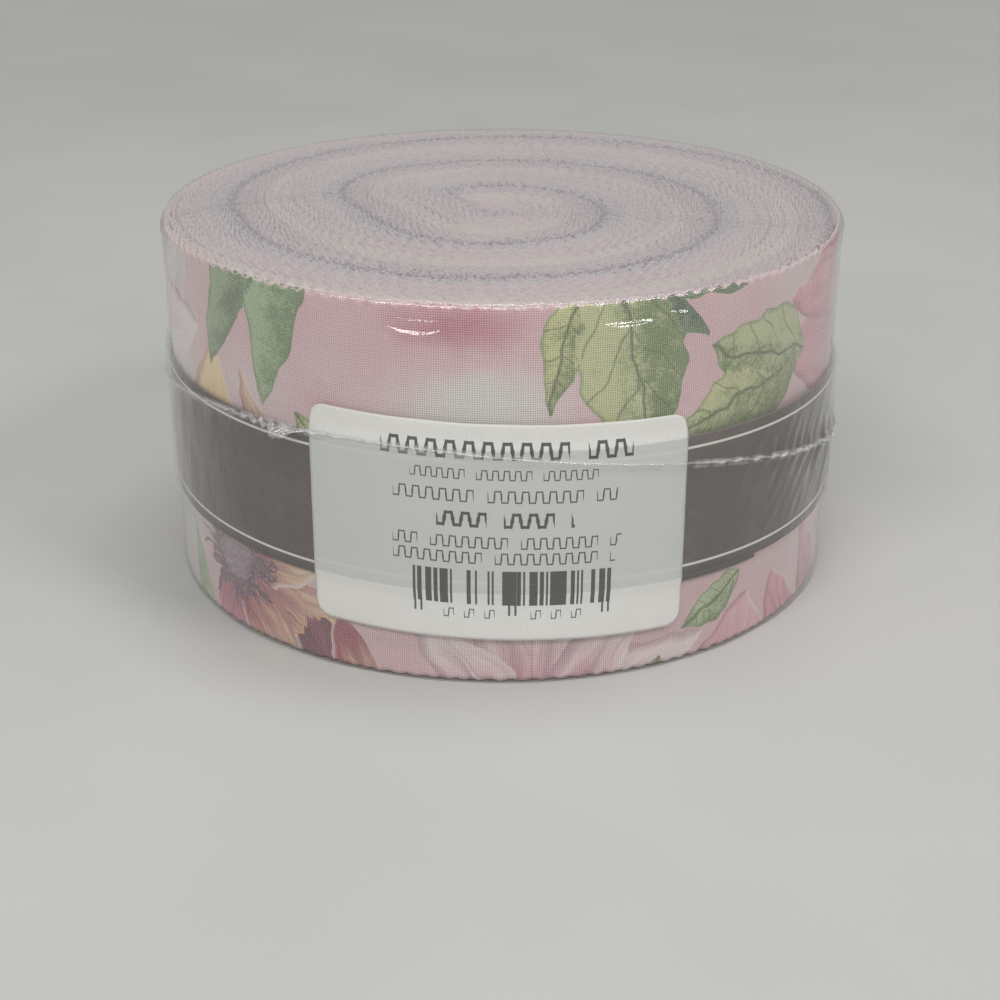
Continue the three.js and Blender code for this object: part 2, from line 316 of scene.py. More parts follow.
def folded_strip(name, index):
    """One strip of cloth, folded end to end: a thin slab that runs in, turns at its fold and runs out."""
    along = np.linspace(0, FOLDED_LENGTH, STATIONS)
    centre, angle, radius = stack_path(bend_radius_of(index), along)
    outward = direction(angle)
    half = PLY_PITCH / 2
    inner = centre + (radius - half)[:, None] * outward
    outer = centre + (radius + half)[:, None] * outward
    onward = np.array([outward[0, 1], -outward[0, 0]])
    turn = np.linspace(0, math.pi, FOLD_STOPS + 2)[1:-1, None]
    start = centre[0] + radius[0] * outward[0]
    side = -np.cos(turn) * outward[0] - np.sin(turn) * onward
    line = np.concatenate([inner[::-1], start + half * side, outer])
    facing = np.concatenate([-outward[::-1], side, outward])
    front = press_round(line + facing * PLY / 2)
    back = press_round(line - facing * PLY / 2)
    lift = rng.normal(0, LIFT)
    flat = np.concatenate([-along[::-1], np.linspace(-FOLD_LENGTH, FOLD_LENGTH, FOLD_STOPS), along])
    flat = flat + FOLDED_LENGTH
    lift = lift + WANDER * smooth_noise(line[:, 0], line[:, 1], 34, 40 + index)
    offset = rng.uniform(0, 1)
    low = STRIP_BOTTOM + 0.12 + pinked(flat, offset + 0.4, 500 + index) + np.maximum(lift, -0.1)
    high = STRIP_TOP - 0.1 - pinked(flat, offset, 100 + index) + np.minimum(lift, 0.1)
    inside_low, inside_high = STRIP_BOTTOM + EDGE_ROW, STRIP_TOP - EDGE_ROW
    heights = np.stack([low, np.full_like(low, inside_low), np.full_like(low, inside_high), high], axis=1)
    columns, rows = heights.shape
    points = np.concatenate([sheet_grid(front, heights), sheet_grid(back, heights)])
    made = make_object(name, points, slab_faces(columns, rows, rows), twice(flat_grid(flat, heights)))
    add_attribute(made, "edge", twice(np.tile([1.0, 0.0, 0.0, 1.0], columns)))
    tone = np.where(np.arange(columns) < columns / 2, rng.normal(), rng.normal())
    add_attribute(made, "tone", twice(np.repeat(tone, rows)))
    add_attribute(made, "speckle", np.full(len(points), SPECKLES.get(index, PLAIN_SPECKLE)))
    return made


# ---- the printed cover strip
COVER_END = math.radians(200)  # azimuth of its outer end
COVER_ROWS = 91  # enough rows to carry the print
INNER_PLY_ROWS = 4
HEM_DROP = 0.42  # the lower hem reaches this far below the strips
HEM_SHARE = 0.55  # and its teeth are this share of a full tooth
HEM_RISE = 0.02  # the upper hem reaches this far above them


def cover_ply(along, radius_out, front_rows, offset, seed):
    """Points, flat places, and each front point's azimuth and height, of one ply of the cover strip."""
    growth = STRIP_PITCH / FULL_TURN
    azimuth = COVER_END + along / COVER_OUTER
    radius = radius_out - growth * (azimuth - COVER_END) + 0.06 * smooth_noise(along, 0, 30, seed)
    low = STRIP_BOTTOM - HEM_DROP + HEM_SHARE * pinked(along, offset, seed)
    high = STRIP_TOP + HEM_RISE - pinked(along, offset + 0.5, seed + 1)
    front, back = (
        low[:, None] + (high - low)[:, None] * np.linspace(0, 1, rows)
        for rows in (front_rows, INNER_PLY_ROWS)
    )
    outside, inside = at_azimuth(radius, azimuth), at_azimuth(radius - PLY, azimuth)
    points = np.concatenate([sheet_grid(outside, front), sheet_grid(inside, back)])
    flat = np.concatenate([flat_grid(along, front), flat_grid(along, back)])
    return points, flat, np.repeat(azimuth, front_rows), front.reshape(-1)


def cover_strip():
    along = np.linspace(0, FOLDED_LENGTH, STATIONS)
    outer = cover_ply(along, COVER_OUTER, COVER_ROWS, 0.0, 901)
    inner = cover_ply(along, COVER_OUTER - PLY_PITCH, INNER_PLY_ROWS, 0.37, 911)
    faces = slab_faces(STATIONS, COVER_ROWS, INNER_PLY_ROWS)
    faces += [group + len(outer[0]) for group in slab_faces(STATIONS, INNER_PLY_ROWS, INNER_PLY_ROWS)]
    # the columns run to the right here, and to the left on a rolled strip, so the faces are turned
    faces = [group[:, ::-1] for group in faces]
    points = np.concatenate([outer[0], inner[0]])
    made = make_object("cover_cloth", points, faces, np.concatenate([outer[1], inner[1]]))
    printed = {**printed_garden(outer[2], outer[3]), "face": np.ones(len(outer[2]))}
    for name, values in printed.items():
        everywhere = np.full(len(points), 0 if name == "face" else values.max())
        everywhere[: len(values)] = values
        add_attribute(made, name, everywhere)
    return made


# ---- the print: a loose garden of leaves and petals, laid out by azimuth in degrees and height in mm
def degrees_from(azimuth, degrees):
    return (np.degrees(azimuth) - degrees + 180) % 360 - 180


def across_from(azimuth, degrees):
    """Distance along the cloth, in mm, from an azimuth given in degrees."""
    return np.radians(degrees_from(azimuth, degrees)) * COVER_OUTER


WIDEST = 0.72  # under 1, a blade is widest before its middle
LOBES, LOBE_DEPTH = 5.5, 0.12  # of a lobed leaf's edge
FAR_AWAY = 1e3


BLADE_FIELDS = ("edge", "middle", "along", "tone")
HEART_FIELDS = ("distance", "around", "size")


def blade_fields(azimuth, height, blades, taper):
    """For the nearest of several leaf-shaped blades: distance past its edge, signed distance from its
    middle line, how far along it, and its tone."""
    edge = np.full(azimuth.shape, FAR_AWAY)
    middle, along_it, tone_of = np.zeros((3, *azimuth.shape))
    for base_azimuth, base_height, tip_azimuth, tip_height, half_width, bow, lobes, tone in blades:
        x = across_from(azimuth, base_azimuth)
        y = height - base_height
        reach = np.array([across_from(math.radians(tip_azimuth), base_azimuth), tip_height - base_height])
        length = math.hypot(*reach)
        way = reach / length
        along = (x * way[0] + y * way[1]) / length
        t = np.clip(along, 0, 1)
        side = x * way[1] - y * way[0] - bow * np.sin(math.pi * t)
        width = half_width * np.sin(math.pi * t ** WIDEST) ** taper
        width = width * (1 + LOBE_DEPTH * lobes * (2 * np.abs((t * LOBES) % 1 - 0.5) - 0.5))
        past_end = np.maximum(np.maximum(-along, along - 1), 0) * length
        distance = np.hypot(np.maximum(np.abs(side) - width, 0), past_end)
        distance = np.where(distance == 0, np.abs(side) - width, distance)
        nearer = distance < edge
        for field, value in ((edge, distance), (middle, side), (along_it, along), (tone_of, tone)):
            np.copyto(field, value, where=nearer)
    return edge, middle, along_it, tone_of


# a blade: azimuth and height of its base, the same of its tip, half width, bow, lobes, tone
LEAVES = [
    (-37.0, 79, -53.6, 45.6, 6.2, 1.6, 0, 0.80),
    (-35.6, 77, -40.2, 42.2, 6.2, -0.6, 0, 0.74),
    (13.0, 68, 7.0, 46.2, 3.9, 0.8, 1, 0.25),
    (15.5, 72, 23.5, 33, 9.6, -0.8, 1, 0.42),
    (17.0, 68, 33.4, 54.8, 2.7, -1.0, 0, 1.00),
    (57.0, 48.5, 33.6, 53.8, 8.2, -1.0, 1, 0.50),
    (56.0, 47.5, 27.0, 40.0, 7.2, 1.2, 1, 0.36),
    (22.0, 67, 41.0, 63.2, 2.0, 0.6, 0, 0.95),
    (42.0, 12.6, 29.6, 5.6, 3.1, -0.6, 1, 0.60),
    (-26.0, 36, -34.0, 43.4, 2.8, 0.6, 0, 0.40),
    (-60.0, -6, -66.0, 14, 3.0, 1.0, 0, 0.70),
    (20.0, -8, 27.0, 2.4, 2.4, 0.5, 0, 0.20),
    (98, 68, 88, 42, 7.0, 1.2, 1, 0.50),
    (104, 70, 112, 38, 6.5, -1.4, 0, 0.78),
    (146, -6, 160, 22, 8.0, 1.6, 1, 0.35),
    (160, -4, 178, 18, 6.0, -1.0, 1, 0.55),
    (-170, 72, 176, 42, 8.0, 1.2, 1, 0.42),
    (-160, 72, -146, 44, 6.0, 0.8, 0, 0.85),
    (-108, -4, -122, 20, 6.6, 1.2, 1, 0.50),
    (-104, -4, -94, 18, 5.2, -1.0, 0, 0.72),
    (122, 70, 136, 50, 5.0, 0.8, 1, 0.30),
]

# tones of petals: 0.1 pale pink and white, 0.3 rose, 0.5 red and cream, 0.7 peach, 0.9 maroon
UNDER_PETALS = [
    (-56, 18, -53, 49, 10.0, 1.0, 0, 0.70),
    (-92, 52, -64, 67, 8.0, 0, 0, 0.10),
    (-92, 36, -62, 38, 8.0, 1.0, 0, 0.12),
    (90, 60, 58, 68, 8.0, 0, 0, 0.30),
    (98, 46, 51.0, 49, 13.5, -1.0, 0, 0.28),
    (-49, 12, -54, -8, 6.0, 0, 0, 0.30),
    (-46, 11, -24, 7, 6.0, 0.8, 0, 0.50),
    (-33, 10, -25, -6, 6.0, 0, 0, 0.90),
    (63, -14, 51, 9.6, 7.0, -1.0, 0, 0.32),
    (82, -12, 76, 18, 8.0, 1.0, 0, 0.12),
]
OVER_PETALS = [
    (-38.5, 28, -45.8, 48, 3.0, 0.8, 0, 0.50),
    (-94, 45, -57, 52, 8.6, 1.0, 0, 0.08),
    (96, 54, 52, 57, 9.0, 1.4, 0, 0.30),
    (-49, 13, -29, 16, 5.4, -0.8, 0, 0.52),
    (-47, 11, -34, -5, 5.6, 0.8, 0, 0.50),
    (-27, 8, -18, -8, 3.4, 0.8, 0, 0.48),
    (34, -22, 44.8, 9.0, 11.0, 1.0, 0, 0.17),
    (72, -12, 62, 16, 6.0, 1.0, 0, 0.30),
]


def flower(azimuth, height, length, half_width, count, start, tones, skip):
    """Every second petal of an open flower, so that the petals of one layer don't touch."""
    petals = []
    for k in range(skip, count, 2):
        heading = math.radians(start + 360 * k / count)
        reach = length * (1 + 0.12 * math.sin(5.1 * k + start))
        tip_azimuth = azimuth + math.degrees(reach * math.sin(heading) / COVER_OUTER)
        tip_height = height + reach * math.cos(heading)
        tone = tones[k % len(tones)]
        bow = 0.8 * math.sin(2.3 * k)
        petals.append((azimuth, height, tip_azimuth, tip_height, half_width, bow, 0, tone))
    return petals


# a flower: azimuth and height of its heart, its petals' length, half width, count, first heading and tones
FLOWERS = [
    (5.2, -9, 30, 5.2, 13, 10, (0.10, 0.12, 0.08)),
    (128, 30, 27, 8.0, 9, 10, (0.30, 0.28, 0.50)),
    (-178, 26, 24, 7.5, 9, 25, (0.50, 0.52)),
    (-134, 36, 28, 8.0, 10, 0, (0.10, 0.15)),
]
# hearts: azimuth, height, and how far the stamens reach, mm
HEARTS = [(-49.5, 13, 9.5), (128, 30, 8), (-178, 26, 8), (-134, 36, 7), (92, 50, 8), (-96, 44, 7)]
# pale and deep washes of the ground: strength, azimuth and its spread, height and its spread
WASHES = [(1.2, -72, 13, 0, math.inf), (1.4, -4, 9, 48, 6), (-1.5, -5, 10, 60, 5.5)]
TAPER = {"leaf": 1.0, "under": 0.75, "over": 0.75}  # how pointed the blades of a layer are


def wandering(across, height, seed):
    """The painter's hand: outlines wander a little."""
    return 0.7 * smooth_noise(across, height, 9, seed) + 0.22 * smooth_noise(across, height, 3, seed + 1)


def printed_garden(azimuth, height):
    """The print as fields over the cloth, which the material turns into paint."""
    fields = {}
    across = azimuth * COVER_OUTER
    azimuth = azimuth + wandering(across, height, 61) / COVER_OUTER
    height = height + wandering(across, height, 63)
    layers = {
        "leaf": LEAVES,
        "under": UNDER_PETALS + [petal for spec in FLOWERS for petal in flower(*spec, skip=0)],
        "over": OVER_PETALS + [petal for spec in FLOWERS for petal in flower(*spec, skip=1)],
    }
    for layer, blades in layers.items():
        names = [layer + "_" + field for field in BLADE_FIELDS]
        fields.update(zip(names, blade_fields(azimuth, height, blades, TAPER[layer])))
    # stamens: how far from the nearest heart, and which way round it
    distance = np.full(azimuth.shape, FAR_AWAY)
    around, size = np.zeros((2, *azimuth.shape))
    for heart_azimuth, heart_height, reach in HEARTS:
        x, y = across_from(azimuth, heart_azimuth), height - heart_height
        nearer = np.hypot(x, y) < distance
        for field, value in ((distance, np.hypot(x, y)), (around, np.arctan2(x, y)), (size, reach)):
            np.copyto(field, value, where=nearer)
    fields.update(zip(["heart_" + field for field in HEART_FIELDS], (distance, around, size)))
    degrees = degrees_from(azimuth, 0)
    wash = 0.30 * smooth_noise(degrees, height, 60, 71)
    for strength, middle, spread, level, reach in WASHES:
        wash += strength * bell(degrees - middle, spread) * bell(height - level, reach)
    fields["wash"] = wash
    return fields


# ---- band and label
BAND_WIDTH = 24.5
BAND_BOTTOM = 16.3
BAND_PAPER = 0.2
BAND_STEP = 0.35  # from one turn of the band to the next
BAND_CLIMB = 1.0  # how far the band strays up in one turn
BAND_FIRST_END = math.radians(45)
BAND_OVERLAP = 52
BAND_TILT = math.radians(1)
BAND_COLUMNS, BAND_ROWS = 470, 15

LABEL_LENGTH = 62
LABEL_WIDTH = 37
LABEL_BOTTOM = 8.2
LABEL_PAPER = 0.12
LABEL_LIFT = 0.2  # from the band to the label's face
LABEL_SINK = 0.28  # how far the label sinks beside the band
LABEL_CORNER = 2.7
LABEL_TILT = math.radians(1.5)
LABEL_MIDDLE = math.radians(-0.5)
LABEL_COLUMNS, LABEL_ROWS = 125, 75


def band_bottom_at(azimuth):
    climb = BAND_CLIMB * (BAND_FIRST_END - azimuth) / FULL_TURN
    return BAND_BOTTOM - BAND_CLIMB + climb - math.tan(BAND_TILT) * BAND_OUTER * np.sin(azimuth)


def paper_band():
    sweep = FULL_TURN + BAND_OVERLAP / BAND_OUTER
    azimuth = BAND_FIRST_END - np.linspace(0, sweep, BAND_COLUMNS)
    turned = (BAND_FIRST_END - azimuth) / FULL_TURN
    along = turned * FULL_TURN * BAND_OUTER
    outer = BAND_OUTER - BAND_STEP * (sweep / FULL_TURN - turned)
    outer = outer + 0.04 * smooth_noise(along, 0, 40, 31)
    across = np.repeat(np.linspace(0, BAND_WIDTH, BAND_ROWS)[None, :], BAND_COLUMNS, axis=0)
    heights = band_bottom_at(azimuth)[:, None] + across
    points = [sheet_grid(at_azimuth(radius, azimuth), heights) for radius in (outer, outer - BAND_PAPER)]
    faces = slab_faces(BAND_COLUMNS, BAND_ROWS, BAND_ROWS)
    return make_object("band_paper", np.concatenate(points), faces, twice(flat_grid(along, across)))


def paper_label():
    x = np.linspace(-0.5, 0.5, LABEL_COLUMNS) * LABEL_LENGTH
    into_corner = np.clip(LABEL_CORNER - (LABEL_LENGTH / 2 - np.abs(x)), 0, LABEL_CORNER)
    cut = LABEL_CORNER - np.sqrt(LABEL_CORNER**2 - into_corner**2)
    y = cut[:, None] + (LABEL_WIDTH - 2 * cut[:, None]) * np.linspace(0, 1, LABEL_ROWS)
    heights = LABEL_BOTTOM + y - math.tan(LABEL_TILT) * x[:, None]
    azimuth = np.repeat((LABEL_MIDDLE + x / BAND_OUTER)[:, None], LABEL_ROWS, axis=1)
    # the paper stands on the band, and sinks to the cloth above and below it
    band_low = band_bottom_at(azimuth - FULL_TURN)
    above = np.clip((heights - band_low - BAND_WIDTH) / 1.5, 0, 1)
    below = np.clip((band_low - heights) / 1.5, 0, 1)
    radius = BAND_OUTER + LABEL_LIFT - LABEL_SINK * np.maximum(above, below)
    radius = radius + 0.035 * smooth_noise(x[:, None], heights, 9, 77)
    points = [
        np.concatenate([at_azimuth(face, azimuth), heights[..., None]], axis=2).reshape(-1, 3)
        for face in (radius, radius - LABEL_PAPER)
    ]
    faces = [group[:, ::-1] for group in slab_faces(LABEL_COLUMNS, LABEL_ROWS, LABEL_ROWS)]
    flat = twice(flat_grid(x + LABEL_LENGTH / 2, y))
    made = make_object("label_paper", np.concatenate(points), faces, flat)
    over_band = np.minimum(heights - band_low, band_low + BAND_WIDTH - heights).reshape(-1)
    add_attribute(made, "over_band", twice(over_band))
    return made


# ---- film
SEAM_HEIGHT = 29.6  # of the slanted seam's middle
SEAM_RISE_LEFT = 5.4
SEAM_RISE_FRONT = 10.6
SHOULDER = 1.2  # bend of the film at the top
FOOT = 0.5  # and at the bottom
FILM_SKIN = STRIP_TOP + 0.12  # height of the film's top


def seam_height(azimuth):
    return SEAM_HEIGHT - SEAM_RISE_LEFT * np.sin(azimuth) + SEAM_RISE_FRONT * np.cos(azimuth)


def near(azimuth, degrees, width):
    """1 at that azimuth, falling smoothly to 0 about that many degrees away."""
    return bell(degrees_from(azimuth, degrees), width)


# creases that run round the wall: azimuth, reach in degrees, height, rise, width, bow of the ends
RIDGES = [
    (-12.5, 6.5, 58.9, 0.55, 0.5, 2.0),
    (-12.0, 5.0, 60.9, 0.45, 0.5, 0.4),
    (18.5, 5.0, 59.8, 0.8, 0.6, 0.3),
    (27.0, 2.4, 60.8, 0.6, 0.5, 0.3),
    (-33, 2.0, 43.2, 0.4, 0.4, 0),
]
ARC = 1.05  # mm of wall for each degree
BUNCH = -35  # azimuth of the gathered nub beside the label
MOST_INWARD = -0.12


def film_relief(azimuth, height):
    """How far the film stands off its contents: long soft folds, pleats at the seam's ends, a taut rim."""
    arc = np.degrees(azimuth) * ARC
    seam = height - seam_height(azimuth)
    relief = 0.10 * smooth_noise(arc, height * 0.35, 22, 11)
    relief += 0.05 * smooth_noise(arc, height * 0.2, 6, 12)
    # pleats fan out from the seam
    pleats = np.abs(smooth_noise(arc - 0.7 * seam, height * 0.08, 2.3, 13))
    reach_right = np.exp(-np.abs(seam) / np.where(seam > 0, 3.2, 8)) * near(azimuth, 62, 22)
    reach_left = np.exp(-np.abs(seam) / 3.0) * near(azimuth, -38, 12)
    reach_back = np.exp(-np.abs(seam) / 4) * near(azimuth, 180, 60)
    relief += 0.75 * pleats * (reach_right + reach_left + 0.6 * reach_back)
    bunch = bell(seam + 0.2, 2.6) * near(azimuth, BUNCH, 5)
    relief += bunch * (0.5 + 0.9 * np.abs(smooth_noise(arc, seam * 0.7, 2.1, 18)))
    relief += 0.35 * bell(seam, 1.1)
    # the rim: shallow gathers, and two fans of upright streaks below it
    relief += 0.12 * bell(FILM_TOP - 3 - height, 3.2) * np.abs(smooth_noise(arc, height * 0.15, 3.4, 14))
    relief += 0.16 * bell(FILM_TOP - 1.6 - height, 1.3) * np.abs(smooth_noise(arc, height * 0.3, 2.0, 17))
    streaks = np.maximum(smooth_noise(arc, height * 0.12, 1.9, 16), 0)
    relief += 0.75 * streaks * near(azimuth, 41, 12) * bell(height - 59.4, 2.3)
    relief += 0.5 * streaks * near(azimuth, -62, 9) * bell(height - 58, 4)
    for degrees, reach, level, rise, width, bow in RIDGES:
        off = degrees_from(azimuth, degrees) / reach
        relief += rise * bell(height - level - bow * off**2, width) * bell(off**2, 1)
    return np.maximum(relief, MOST_INWARD)


FILM_LIFT = 0.3  # from what it wraps to the film
BRIDGE = 3.0  # the film leaves the band's edge this far from it


def film_wall(azimuth, height):
    """Radius of the taut film: it lies on the cloth, and bridges up to the band and the label."""
    band_low = band_bottom_at(azimuth)
    past_band = np.maximum(band_low - height, height - band_low - BAND_WIDTH)
    on_band = np.clip(1 - past_band / BRIDGE, 0, 1)
    past_label = np.maximum(
        np.abs(azimuth - LABEL_MIDDLE) * BAND_OUTER - LABEL_LENGTH / 2,
        np.maximum(LABEL_BOTTOM - height, height - LABEL_BOTTOM - LABEL_WIDTH),
    )
    on_label = np.clip(1 - past_label / BRIDGE, 0, 1)
    lift = (BAND_OUTER - COVER_OUTER) * np.maximum(on_band, 0.7 * on_label) + 0.22 * on_label
    return COVER_OUTER + FILM_LIFT + lift


FILM_COLUMNS = 720
WALL_BREAK = 54  # above this height the wall's rings are closer, for the fine creases


def film_shell():
    """One closed skin round the whole roll: bottom, wall and top."""
    azimuth = np.linspace(-math.pi, math.pi, FILM_COLUMNS, endpoint=False)
    top_of_wall = FILM_SKIN - SHOULDER
    wall = [*np.linspace(FOOT, WALL_BREAK, 58), *np.linspace(WALL_BREAK, top_of_wall, 38)[1:]]
    bend = np.linspace(0, QUARTER, 7)[1:]
    # each ring: share of the flat part's radius, height, how far it has turned up to the wall, and its bend
    rings = [(r, 0.0, 0.0, FOOT) for r in np.linspace(0.12, 0.985, 7)]
    rings += [(1.0, FOOT * (1 - math.cos(b)), math.sin(b), FOOT) for b in bend]
    rings += [(1.0, z, 1.0, SHOULDER) for z in wall[1:-1]]
    rings += [(1.0, FILM_SKIN - SHOULDER * (1 - math.sin(b)), math.cos(b), SHOULDER) for b in [0, *bend]]
    rings += [(r, FILM_SKIN, 0.0, SHOULDER) for r in np.linspace(0.985, 0.03, 24)]
    points = []
    for share, height, turned, corner in rings:
        z = np.full(FILM_COLUMNS, height)
        relief = film_relief(azimuth, z) * turned
        plan = at_azimuth((film_wall(azimuth, z) - corner) * share + corner * turned + relief, azimuth)
        if height >= top_of_wall:
            z = z + (1 - turned) * 0.09 * smooth_noise(plan[:, 0], plan[:, 1], 30, 15)
        points.append(np.column_stack([plan, z]))
    poles = [[0, 0, 0.0], [0, 0, FILM_SKIN]]
    first = len(rings) * FILM_COLUMNS
    here = np.arange(FILM_COLUMNS)
    following = (here + 1) % FILM_COLUMNS
    low = np.stack([np.full(FILM_COLUMNS, first), following, here], axis=1)
    top = first - FILM_COLUMNS
    high = np.stack([np.full(FILM_COLUMNS, first + 1), top + here, top + following], axis=1)
    faces = [ring_quads(len(rings), FILM_COLUMNS), low, high]
    return make_object("film_wrap", np.concatenate([*points, poles]), faces)


FIN_COLUMNS = 900
# round the fin's section: share of its reach, and which side of its middle
FIN_SECTION = [(0, -1), (0.35, -1), (0.7, -1), (1, -0.6), (1, 0.6), (0.7, 1), (0.35, 1), (0, 1)]


def film_fin():
    """The fused, trimmed edge of the film: a low pleated fin that runs round the seam."""
    azimuth = np.linspace(-math.pi, math.pi, FIN_COLUMNS, endpoint=False)
    arc = np.degrees(azimuth) * ARC
    loose = np.clip(near(azimuth, 62, 26) + near(azimuth, -36, 9) + 0.5 * near(azimuth, 180, 50), 0, 1)
    stand = 0.30 + 0.40 * loose + 0.12 * smooth_noise(arc, 0, 5, 51)
    stand += 1.5 * near(azimuth, BUNCH + 1, 2.2)
    flutter = (0.08 + 0.30 * loose) * smooth_noise(arc, 0, 3.1, 52)
    flutter += 0.9 * near(azimuth, BUNCH - 2, 4) * smooth_noise(arc, 0, 1.7, 53)
    level = seam_height(azimuth)
    foot = film_wall(azimuth, level) + film_relief(azimuth, level) - 0.15
    thick = 0.05 + 0.5 * near(azimuth, BUNCH + 1, 1.5)
    section = []
    for share, side in FIN_SECTION:
        height = level + flutter - 0.5 * share * stand + side * thick
        section.append(np.column_stack([at_azimuth(foot + stand * share, azimuth), height]))
    points = np.stack(section, axis=1).reshape(-1, 3)
    return make_object("film_fin", points, [ring_quads(FIN_COLUMNS, len(section), closed=True)[:, ::-1]])


# ---- materials
def linear(colour):
    """A linear colour from three 0-255 screen values; a socket stays as it is."""
    if isinstance(colour, bpy.types.NodeSocket):
        return colour
    shares = [v / 255 for v in colour]
    return (*(v / 12.92 if v <= 0.04045 else ((v + 0.055) / 1.055) ** 2.4 for v in shares), 1.0)


class Shader:
    """A material under construction. Sockets go in and out, so that a material reads as a sum.
    Colours are sockets or three 0-255 screen values."""

    def __init__(self, name):
        self.material = bpy.data.materials.new(name)
        self.material.use_nodes = True
        self.tree = self.material.node_tree
        self.tree.nodes.clear()
        self.output = self.node("OutputMaterial")

    def node(self, kind, inputs=None, **settings):
        made = self.tree.nodes.new("ShaderNode" + kind)
        for key, value in settings.items():
            setattr(made, key, value)
        for key, value in (inputs or {}).items():
            if isinstance(value, bpy.types.NodeSocket):
                self.tree.links.new(value, made.inputs[key])
            else:
                made.inputs[key].default_value = value
        return made

    def value(self, kind, inputs=None, socket=0, **settings):
        return self.node(kind, inputs, **settings).outputs[socket]

    def math(self, operation, a, b=0.0):
        return self.value("Math", {0: a, 1: b}, operation=operation)

    def times(self, a, b):
        return self.math("MULTIPLY", a, b)

    def plus(self, a, b):
        return self.math("ADD", a, b)

    def less(self, a, b):
        return self.math("SUBTRACT", a, b)

    def most(self, a, b):
        return self.math("MAXIMUM", a, b)

    def least(self, a, b):
        return self.math("MINIMUM", a, b)

    def size(self, a):
        return self.math("ABSOLUTE", a)

    def apart(self, a, b):
        return self.size(self.less(a, b))

    def swing(self, share, size):
        """A noise's value as a push to either side of 0."""
        return self.times(self.less(share, 0.5), size)

    def mix(self, share, a, b, blend="MIX"):
        inputs = {0: share, 6: linear(a), 7: linear(b)}
        return self.value("Mix", inputs, 2, data_type="RGBA", blend_type=blend)

    def attribute(self, name):
        return self.value("Attribute", socket="Fac", attribute_name=name)

    def noise(self, vector, scale, detail=2.0, roughness=0.5):
        inputs = {"Vector": vector, "Scale": scale, "Detail": detail, "Roughness": roughness}
        return self.value("TexNoise", inputs)

    def smooth(self, value, low, high, to_low=0.0, to_high=1.0):
        inputs = {0: value, 1: low, 2: high, 3: to_low, 4: to_high}
        return self.value("MapRange", inputs, interpolation_type="SMOOTHSTEP")

    def ramp(self, share, stops, interpolation="LINEAR"):
        made = self.node("ValToRGB", {0: share})
        band = made.color_ramp
        band.interpolation = interpolation
        while len(band.elements) < len(stops):
            band.elements.new(0.5)
        for element, (place, colour) in zip(band.elements, stops):
            element.position = place
            element.color = linear(colour)
        return made.outputs[0]

    def combine(self, x, y, z=0.0):
        return self.value("CombineXYZ", {0: x, 1: y, 2: z})

    def split(self, vector):
        return self.node("SeparateXYZ", {0: vector}).outputs[:3]

    def in_mm(self, place):
        return self.value("VectorMath", {0: place, 1: (1 / MM,) * 3}, operation="MULTIPLY")

    def flat_place(self):
        """Place on the flat sheet, in mm."""
        return self.in_mm(self.value("UVMap", uv_map="UVMap"))

    def object_place(self):
        """Place in the object's space, in mm."""
        return self.in_mm(self.value("TexCoord", socket="Object"))

    def bump(self, height, distance, strength):
        return self.value("Bump", {"Height": height, "Distance": distance, "Strength": strength})

    def surface(self, shader):
        self.tree.links.new(shader, self.output.inputs["Surface"])
        return self.material

    def matt(self, colour, roughness, specular, normal, sheen=None):
        """An opaque surface; sheen is the weight and roughness of a cloth's fuzz."""
        inputs = {"Base Color": colour, "Roughness": roughness, "Normal": normal}
        inputs["Specular IOR Level"] = specular
        if sheen:
            inputs["Sheen Weight"], inputs["Sheen Roughness"] = sheen
        return self.surface(self.value("BsdfPrincipled", inputs))


THREAD = 0.37  # mm from one thread to the next
THREAD_WOBBLE = 0.16


def plain_weave(s, flat):
    """Height of a plain weave at a place on the cloth, 0 in the holes and 1 on the threads' crowns."""
    wobble = s.noise(flat, 1.1, 3.0)
    x, y, _ = s.split(flat)
    x = s.plus(x, s.swing(wobble, THREAD_WOBBLE))
    y = s.plus(y, s.swing(s.noise(flat, 1.3, 2.0), THREAD_WOBBLE))
    warp = s.math("SINE", s.times(x, math.pi / THREAD))
    weft = s.math("SINE", s.times(y, math.pi / THREAD))
    over = s.times(warp, weft)
    warp_height = s.times(s.size(warp), s.plus(s.times(over, 0.35), 0.65))
    weft_height = s.times(s.size(weft), s.less(0.65, s.times(over, 0.35)))
    return s.most(warp_height, weft_height)


